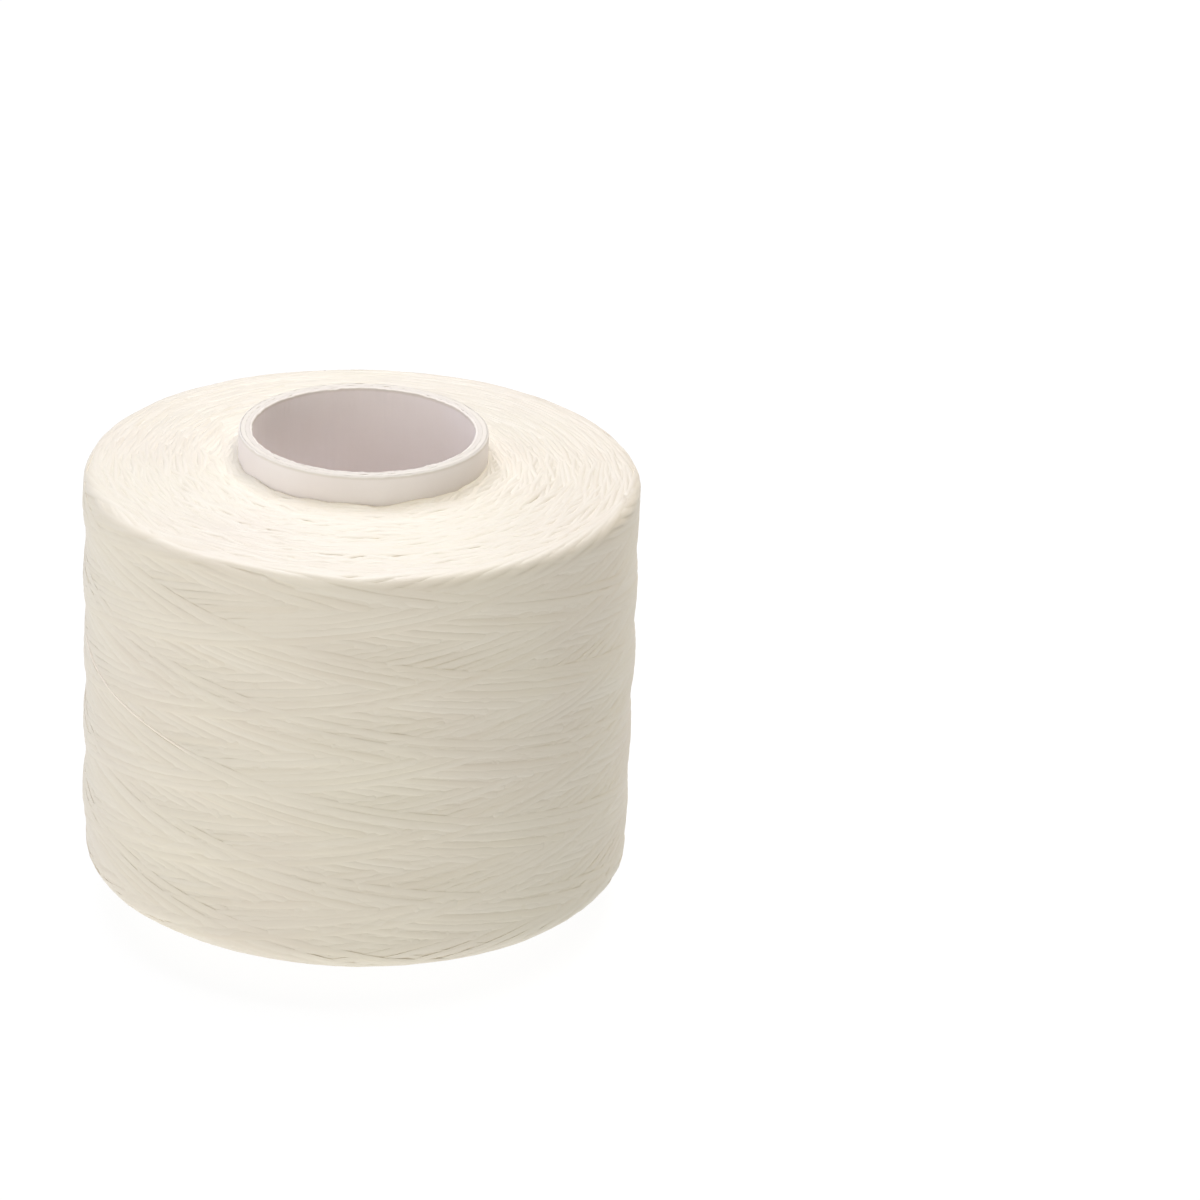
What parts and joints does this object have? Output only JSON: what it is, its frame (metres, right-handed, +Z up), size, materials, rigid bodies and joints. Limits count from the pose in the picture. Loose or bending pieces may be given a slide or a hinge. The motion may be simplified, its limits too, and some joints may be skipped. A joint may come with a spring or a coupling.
{
  "type": "waxed thread spool",
  "caption": "Cross-wound spool of flat off-white waxed thread on a laminated white paper tube that stands out past both ends of the winding.",
  "frame": {"origin": "centre of the paper tube's lower rim, the face that the spool stands on", "axes": "+Z up along the tube's axis, +X and +Y across it; seen along +Y the last strand's tucked end is at the back right"},
  "size_m": [0.0808, 0.0808, 0.0729],
  "materials": {
    "waxed_thread": "satin",
    "white_paper": "matte",
    "paper_board": "matte"
  },
  "bodies": {
    "root": {"tube_bore_liner": "white_paper", "tube_inner_ply": "paper_board", "tube_outer_ply": "paper_board", "tube_outer_wrap": "white_paper", "thread_first_end": "waxed_thread", "thread_base_layer": "waxed_thread", "thread_inner_winding": "waxed_thread", "thread_middle_winding": "waxed_thread", "thread_outer_winding": "waxed_thread", "thread_surface_layer": "waxed_thread", "thread_last_end": "waxed_thread"}
  },
  "joints": []
}
